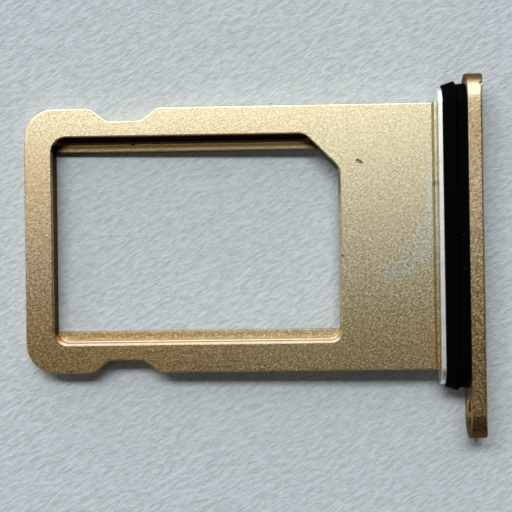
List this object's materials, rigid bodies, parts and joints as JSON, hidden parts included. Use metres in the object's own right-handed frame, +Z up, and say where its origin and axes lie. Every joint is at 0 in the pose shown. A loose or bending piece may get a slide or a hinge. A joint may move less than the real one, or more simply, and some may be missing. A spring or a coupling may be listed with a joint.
{
  "type": "sim card tray",
  "caption": "Slim phone tray for a nano card: a metal frame with a stepped pocket and detent notches, a lipped rubber seal on its neck and a slot-shaped face plate with an eject-pin hole.",
  "frame": {"origin": "under the middle of the whole tray, at the level of the face plate's lower edge", "axes": "+X from the free end to the face plate, +Y towards the pocket's slanted corner, +Z up out of the pocket"},
  "size_m": [0.02, 0.0158, 0.0022],
  "materials": {
    "gold_anodised": "bead-blasted, champagne gold anodised",
    "bright_steel": "bright, bare",
    "seal_rubber": "matt black silicone"
  },
  "bodies": {
    "root": {"tray_body": "gold_anodised", "gasket_retainer": "bright_steel", "sealing_gasket": "seal_rubber"}
  },
  "joints": []
}
